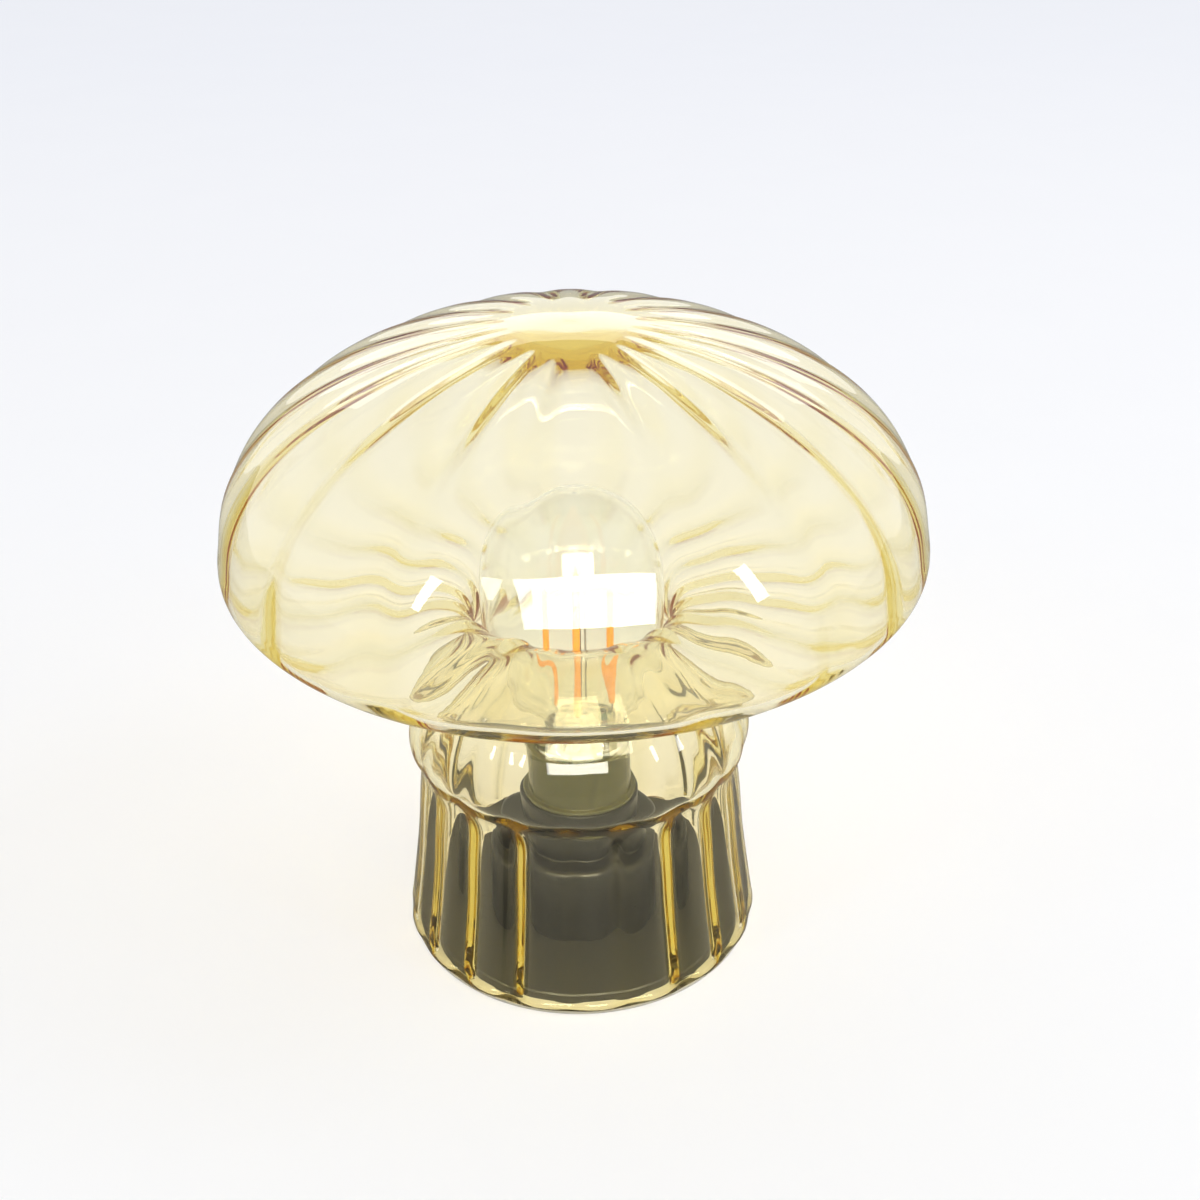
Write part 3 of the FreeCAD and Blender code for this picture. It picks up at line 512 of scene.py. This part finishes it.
# Polished moulded ABS: dark olive grey, glossy enough to mirror the room.
socket_abs = finish_of("polished_dark_abs", "#4B4C33", "#58593E", 3.0, 0.08, bump=0.002)
# Moulded ABS in mid grey: half matt.
grey_abs = finish_of("moulded_grey_abs", "#55585A", "#63666A", 0.8, 0.5)
# Silicone sheet: matt, faintly mottled.
foot_rubber = finish_of("matt_silicone_sheet", "#BDBCB4", "#CBCAC3", 0.7, 0.7, bump=0.03)
# Nickel-plated steel: a bright, slightly warm mirror, a little blurred.
plated_steel = finish_of("nickel_plated_steel", "#B9B7B0", "#CFCDC6", 0.5, 0.22, metallic=1.0,
                         bump=0.004)
# Turned brass: yellow metal with a blurred shine.
turned_brass = finish_of("turned_brass", "#B88F45", "#D3AC5E", 0.5, 0.3, metallic=1.0, bump=0.004)
# Yellow phosphor in silicone over an LED strip: matt, slightly lumpy.
phosphor = finish_of("phosphor_silicone", "#FB9F16", "#FFBE34", 0.8, 0.55, ior=1.41, bump=0.05)
# Solder mask over glass-epoxy board: dark green and glossy.
solder_mask = finish_of("green_solder_mask", "#0F4A26", "#17603A", 1.5, 0.25, bump=0.01)
# Moulded epoxy of a chip: nearly black and matt.
moulded_epoxy = finish_of("moulded_black_epoxy", "#151517", "#202022", 0.3, 0.6)
# Fired ceramic of a small capacitor: matt tan.
fired_ceramic = finish_of("fired_tan_ceramic", "#9A8465", "#B39C7A", 0.3, 0.5)
# Shrink sleeve of a cell: plain dark blue plastic with a soft gloss.
cell_sleeve = finish_of("plain_shrink_sleeve", "#233C66", "#2E4C7C", 4.0, 0.25)
# Phenolic paper: brown and half matt, its fibres along one side.
punched_phenolic = finish_of("punched_phenolic_paper", "#6E4520", "#865A2E", 0.3, 0.5,
                             stretch=(1, 1, 6))
# Extruded vinyl of a wire: red or white, with a soft gloss.
red_vinyl = finish_of("extruded_red_vinyl", "#96140E", "#B01C14", 1.0, 0.4)
white_vinyl = finish_of("extruded_white_vinyl", "#D6D6CE", "#E8E8E2", 1.0, 0.4)

# ---------------------------------------------------------------- pieces

amber_body(amber_glass)

bulb_radius = 24.0
bulb_seat = 55.0
bulb_neck = 12.805
bulb_wall = 0.9
dome_centre = 107.8
bulb_waist = 98.0
bulb_straight = 2.5          # the bulb's neck goes straight up this far
flank_shares = ((0.17, 0.1), (0.52, 0.29), (0.8, 0.53), (0.96, 0.79), (1.0, 1.0))
dome_angles = (0, 18, 36, 54, 72, 90)
bulb_samples = 3000
bulb_rows = 110
bulb_columns = 160


def bulb_glass():
    """A thin shell of revolution: the outside is a spline up the flank and a quarter circle over
    the dome, and the inside lies one wall in along the normal."""
    low = bulb_seat + bulb_straight
    flank = [(bulb_neck, bulb_seat), (bulb_neck, low)]
    flank += [(mixed(bulb_neck, bulb_radius, share_r), mixed(low, bulb_waist, share_z))
              for share_r, share_z in flank_shares]
    angle = np.radians(dome_angles)
    dome = np.column_stack([bulb_radius * np.cos(angle), dome_centre + bulb_radius * np.sin(angle)])
    dense = spline(flank + dome.tolist(), np.linspace(0, 1, bulb_samples))
    line = evened(dense, bulb_rows)
    inner = line - bulb_wall * normals_of(line)
    inner[0] = (bulb_neck - bulb_wall, bulb_seat)
    inner[-1, 0] = 0
    line[-1, 0] = 0
    points, faces = lathe(np.concatenate([inner[::-1], line]), bulb_columns)
    return mesh_piece("bulb_glass", points, faces, "root", bulb_clear,
                      ["bulb_envelope"])


bulb_glass()

mount_top = 62.5
support_low = 63.3
support_level = 64.1
filament_bottom = 65.5
filament_top = 103.5
top_support = 104.9
filament_circle = 9.0
wire_radius = 0.35
foot_radius = 11.55          # foot of the bulb's glass mount
mount_radius = 4.0           # its stump
rod_radius = 1.1             # and its rod
hub_bore = 0.95              # hole of the lower hub; the upper one is nearly closed
hub_pin = 0.2
lower_hub = 2.6
upper_hub = 3.8
lower_hub_height = 1.6
strip_radius = 0.98
strip_end = 0.45             # share of the radius at a strip's end
strip_taper = 1.4            # length in which it grows to the whole
strip_lump = 0.02            # lumps along the strip, as a share of the radius
lump_rate = 1.9              # radians of lump per millimetre


def bulb_stem():
    """The flared glass foot and the thin rod, turned from one profile: foot, flare, stump and
    rod."""
    flare = [(9.0, 1.8), (6.0, 2.9), (4.4, 3.9), (mount_radius, 5.2)]
    profile = [(0, bulb_seat), (foot_radius - 0.35, bulb_seat), (foot_radius, bulb_seat + 0.2),
               (foot_radius, bulb_seat + 0.8)]
    profile += [(radius, bulb_seat + above) for radius, above in flare]
    profile += [(mount_radius, mount_top - 0.8), (3.6, mount_top - 0.2), (3.0, mount_top),
                (1.5, mount_top + 0.1), (rod_radius, mount_top + 0.5),
                (rod_radius, top_support - 0.6), (0.8, top_support - 0.1), (0, top_support)]
    points, faces = lathe(profile, 48)
    return mesh_piece("bulb_stem", points, faces, "root", bulb_clear, ["bulb_mount"])


bulb_stem()


def on_circle(radius, azimuth, height):
    """A point at a radius, azimuth in degrees and height."""
    angle = math.radians(azimuth)
    return (radius * math.cos(angle), radius * math.sin(angle), height)


def led_strip(index):
    """A round phosphor-coated strip that thins at its two ends: its radius grows with the square
    root of the distance from an end, and then stays, but for small lumps."""
    azimuth = 90 * index
    length = filament_top - filament_bottom

    def swell(share):
        reach = np.minimum(share, 1 - share) * length
        grown = np.sqrt(np.clip(reach / strip_taper, 0, 1))
        return (strip_end + (1 - strip_end) * grown
                + strip_lump * np.sin(share * length * lump_rate))

    points, faces = rod(on_circle(filament_circle, azimuth, filament_bottom),
                        on_circle(filament_circle, azimuth, filament_top), strip_radius, 20, 60,
                        swell)
    return mesh_piece("led_strip_" + str(index + 1), points, faces, "root", phosphor,
                      ["filament_" + str(index + 1)])


for index in range(4):
    led_strip(index)


def support_wires(name, level, end, bore, hub_radius, low, high, node):
    """A hub with four arms out over the strips and a stub from each arm to its strip."""
    hub_profile = rounded([(bore, low, 0.05), (hub_radius, low, 0.15),
                           (hub_radius, high, 0.15), (bore, high, 0.05)])
    parts = [closed_lathe(hub_profile, 40)]
    for azimuth in (0, 90, 180, 270):
        parts.append(rod(on_circle(hub_radius - 0.3, azimuth, level),
                         on_circle(filament_circle + 0.2, azimuth, level), wire_radius))
        parts.append(rod(on_circle(filament_circle, azimuth, level),
                         on_circle(filament_circle, azimuth, end), wire_radius))
    points, faces = gathered(parts)
    return mesh_piece(name, points, faces, "root", plated_steel, [node])


support_wires("lower_support", support_level, filament_bottom, hub_bore, lower_hub, support_low,
              support_low + lower_hub_height, "bottom_support")
support_wires("upper_support", top_support + wire_radius, filament_top, hub_pin, upper_hub,
              top_support, top_support + 2 * wire_radius, "top_cross")

tube_radius = 23.5
tube_bore = 21.9
tube_deck = 27.0
turret_radius = 17.0
tube_top = 39.5
tube_wall = 1.6
disc_top = 3.6
deck_hole = 13.105
tube_shoulder = 2.5
socket_bore = 13.105
socket_radius = 14.505
socket_flange = 16.205
flange_height = 1.2
socket_top = 56.5
ledge_width = 1.6            # ledge in the socket that the bulb sits on
ledge_height = 0.6
foot_inner = 40.3
foot_outer = 49.3
foot_height = 1.0


def stem_tube():
    """The battery tube: wide part, turret, the turret's top with its hole, and bore. Each corner
    is a radius, a height and a rounding."""
    turret_bore = turret_radius - tube_wall
    outline = rounded([(tube_radius, disc_top, 0.35), (tube_radius, tube_deck, tube_shoulder),
                       (turret_radius, tube_deck, 0.6), (turret_radius, tube_top, 1.0),
                       (deck_hole, tube_top, 0.3), (deck_hole, tube_top - tube_wall, 0.2),
                       (turret_bore, tube_top - tube_wall, 0.4),
                       (turret_bore, tube_deck - tube_wall, 0.4),
                       (tube_bore, tube_deck - tube_wall, 0.5), (tube_bore, disc_top, 0.2)], 9)
    points, faces = closed_lathe(outline, 160)
    return mesh_piece("stem_tube", points, faces, "root", black_abs, ["battery_tube"])


def bulb_socket():
    """The socket ring: flange, wall and the ledge that the bulb sits on."""
    outline = rounded([(socket_bore, tube_top, 0.1), (socket_flange, tube_top, 0.2),
                       (socket_flange, tube_top + flange_height, 0.5),
                       (socket_radius, tube_top + flange_height, 0.5),
                       (socket_radius, socket_top, 0.6), (socket_bore, socket_top, 0.3),
                       (socket_bore, bulb_seat, 0.05), (socket_bore - ledge_width, bulb_seat, 0.1),
                       (socket_bore - ledge_width, bulb_seat - ledge_height, 0.1),
                       (socket_bore, bulb_seat - ledge_height, 0.1)], 7)
    points, faces = closed_lathe(outline, 120)
    return mesh_piece("bulb_socket", points, faces, "root", socket_abs,
                      ["lamp_socket"])


def foot_pad():
    """The rubber ring under the rim, with soft edges."""
    outline = rounded([(foot_inner, 0, 0.15), (foot_outer, 0, 0.25),
                       (foot_outer, foot_height, 0.2), (foot_inner, foot_height, 0.15)], 5)
    points, faces = closed_lathe(outline, 180)
    return mesh_piece("foot_pad", points, faces, "root", foot_rubber, ["foot_ring"])


stem_tube()
bulb_socket()
foot_pad()

# ---------------------------------------------------------------- carried-over nodes

finishes = {
    "base_disc": grained_abs, "battery_door": black_abs, "switch_slider": black_abs,
    "cell_holder": grey_abs, "screw_inserts": turned_brass, "driver_board": solder_mask,
    "timer_chip": moulded_epoxy, "chip_resistors": moulded_epoxy, "chip_capacitors": fired_ceramic,
    "switch_base": punched_phenolic, "wire_red": red_vinyl, "wire_white": white_vinyl,
    "battery_cell_1": cell_sleeve, "battery_cell_2": cell_sleeve, "battery_cell_3": cell_sleeve,
}
replaced = {name for piece in bpy.context.scene.objects for name in piece.get("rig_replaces", [])}
for name, node in frame["nodes"].items():
    if name not in replaced:
        node.data.materials.clear()
        node.data.materials.append(finishes.get(name, plated_steel))

# ---------------------------------------------------------------- floor, light and camera

floor_reach = 12.0           # metres from the middle to the floor's edge
floor_given = 0.6            # share of the floor's white that is given outright
floor_dimmed = 0.7           # share of it that a gloss doesn't show
painted_falloff_span = (-0.2, 1.2)      # metres to the back over which the given white grows cooler and a little dimmer: painted fall-off of the light
behind_mirrored = 0.3        # the room behind the camera, in a gloss and to matt surfaces
behind_clear = 0.85          # and through glass
camera_place = Vector((6.4, -370.3, 313.1)) * MM
camera_dip = math.radians(29.89)
camera_roll = math.radians(0.74)
lens = 48.4                  # millimetres
sensor = 36.0


def pale_floor():
    """A matt pale paper floor: lit like any surface, with part of its white given outright to what
    the camera sees, directly or through glass, and dimmer in a gloss. The given white is painted
    cooler and a little dimmer towards the back, as painted fall-off of the light."""
    material, tree = new_material("matt_white_paper")
    place = add(tree, "ShaderNodeTexCoord")
    grain = add(tree, "ShaderNodeTexNoise", {"Scale": 1 / (60 * MM), "Detail": 3.0},
                {"Vector": place.outputs["Object"]})
    tone = add(tree, "ShaderNodeMix", {"data_type": "RGBA"}, {"Factor": grain.outputs["Fac"]})
    tone.inputs[6].default_value = linear("#F1F1F3")
    tone.inputs[7].default_value = linear("#F5F5F6")
    lit = add(tree, "ShaderNodeBsdfDiffuse", (), {"Color": tone.outputs[2]})
    parts = add(tree, "ShaderNodeSeparateXYZ", (), {0: place.outputs["Object"]})
    # Painted fall-off of the light: the given white turns cooler and a little dimmer towards the
    # back.
    far = add(tree, "ShaderNodeMapRange", {"From Min": painted_falloff_span[0], "From Max": painted_falloff_span[1]},
              {"Value": parts.outputs["Y"]})
    white = add(tree, "ShaderNodeMix", {"data_type": "RGBA"}, {"Factor": far.outputs[0]})
    white.inputs[6].default_value = linear("#FDFDFD")
    white.inputs[7].default_value = linear("#F4F7FF")
    given = add(tree, "ShaderNodeEmission", {"Strength": 1.0}, {"Color": white.outputs[2]})
    ray = add(tree, "ShaderNodeLightPath")
    seen = add(tree, "ShaderNodeMath", {"operation": "MAXIMUM"},
               {0: ray.outputs["Is Camera Ray"], 1: ray.outputs["Is Transmission Ray"]})
    share = add(tree, "ShaderNodeMath", {"operation": "MULTIPLY", 1: floor_given},
                {0: seen.outputs[0]})
    both = add(tree, "ShaderNodeMixShader", (), {"Fac": share.outputs[0],
                                                 1: lit.outputs[0], 2: given.outputs[0]})
    mirrored = add(tree, "ShaderNodeMath", {"operation": "SUBTRACT", "use_clamp": True},
                   {0: ray.outputs["Is Glossy Ray"], 1: ray.outputs["Is Transmission Ray"]})
    dimmed = add(tree, "ShaderNodeMath", {"operation": "MULTIPLY", 1: floor_dimmed},
                 {0: mirrored.outputs[0]})
    dim = add(tree, "ShaderNodeMixShader", (), {"Fac": dimmed.outputs[0], 1: both.outputs[0]})
    add(tree, "ShaderNodeOutputMaterial", (), {"Surface": dim.outputs[0]})
    mesh = bpy.data.meshes.new("floor")
    sides = ((-1, -1), (1, -1), (1, 1), (-1, 1))
    mesh.from_pydata([(floor_reach * x, floor_reach * y, 0) for x, y in sides], [], [(0, 1, 2, 3)])
    mesh.materials.append(material)
    floor = bpy.data.objects.new("floor", mesh)
    bpy.context.scene.collection.objects.link(floor)


def room():
    """An even pale room: white to the camera, and darker behind the camera in what the lamp
    mirrors."""
    world = bpy.data.worlds.new("room")
    bpy.context.scene.world = world
    world.use_nodes = True
    tree = world.node_tree
    tree.nodes.clear()
    way = add(tree, "ShaderNodeTexCoord")
    parts = add(tree, "ShaderNodeSeparateXYZ", (), {0: way.outputs["Generated"]})
    ray = add(tree, "ShaderNodeLightPath")
    behind = add(tree, "ShaderNodeMapRange", {"To Min": behind_mirrored, "To Max": behind_clear},
                 {"Value": ray.outputs["Is Transmission Ray"]})
    level = add(tree, "ShaderNodeMapRange", {"interpolation_type": "SMOOTHSTEP", "From Min": -0.9,
                                             "From Max": 0.3, "To Max": 1.0},
                {"Value": parts.outputs["Y"], "To Min": behind.outputs[0]})
    shown = add(tree, "ShaderNodeMath", {"operation": "MAXIMUM"},
                {0: level.outputs[0], 1: ray.outputs["Is Camera Ray"]})
    back = add(tree, "ShaderNodeBackground", {"Color": linear("#FBFCFF")},
               {"Strength": shown.outputs[0]})
    add(tree, "ShaderNodeOutputWorld", (), {"Surface": back.outputs[0]})


def window(name, place, size, power, matt=True, gloss=True, clear=True, aim=(0, 0, 100)):
    """A soft rectangular light of a size in millimetres and a power in watts, at a place in
    millimetres, facing the part's middle. It may be left out of what lights matt surfaces, of
    what shows in a gloss or of what shows through glass."""
    light = bpy.data.lights.new(name, "AREA")
    light.shape = "RECTANGLE"
    light.size, light.size_y = size[0] * MM, size[1] * MM
    light.energy = power
    lamp = bpy.data.objects.new(name, light)
    lamp.location = Vector(place) * MM
    lamp.visible_diffuse = matt
    lamp.visible_glossy = gloss
    lamp.visible_transmission = clear
    ahead = Vector(aim) * MM - lamp.location
    lamp.rotation_euler = ahead.to_track_quat("-Z", "Y").to_euler()
    bpy.context.scene.collection.objects.link(lamp)


def camera():
    """The photograph's view, dipped and slightly rolled."""
    view = bpy.data.cameras.new("camera")
    view.lens = lens
    view.sensor_width = sensor
    view.clip_start = 10 * MM
    seat = bpy.data.objects.new("camera", view)
    tilt = Matrix.Rotation(math.pi / 2 - camera_dip, 4, "X")
    roll = Matrix.Rotation(-camera_roll, 4, "Z")
    seat.matrix_world = Matrix.Translation(camera_place) @ tilt @ roll
    bpy.context.scene.collection.objects.link(seat)
    bpy.context.scene.camera = seat


pale_floor()
room()
window("front_window", place=(110, -1500, 1540), size=(1450, 1050), power=52, matt=False)
window("left_window", place=(-1620, -1180, 1500), size=(230, 800), power=8, clear=False)
window("right_window", place=(1680, -970, 1350), size=(230, 800), power=8, clear=False)
window("side_light", place=(1300, -200, 1500), size=(700, 700), power=9, gloss=False, clear=False)
window("back_window", place=(0, 1630, 900), size=(2200, 620), power=6, matt=False, clear=False)
camera()

scene = bpy.context.scene
scene.view_settings.view_transform = "Standard"
# The ribs pass light on many times before it leaves the wall.
turns = 32
scene.cycles.max_bounces = turns
scene.cycles.transmission_bounces = turns
scene.cycles.glossy_bounces = turns
scene.cycles.transparent_max_bounces = turns
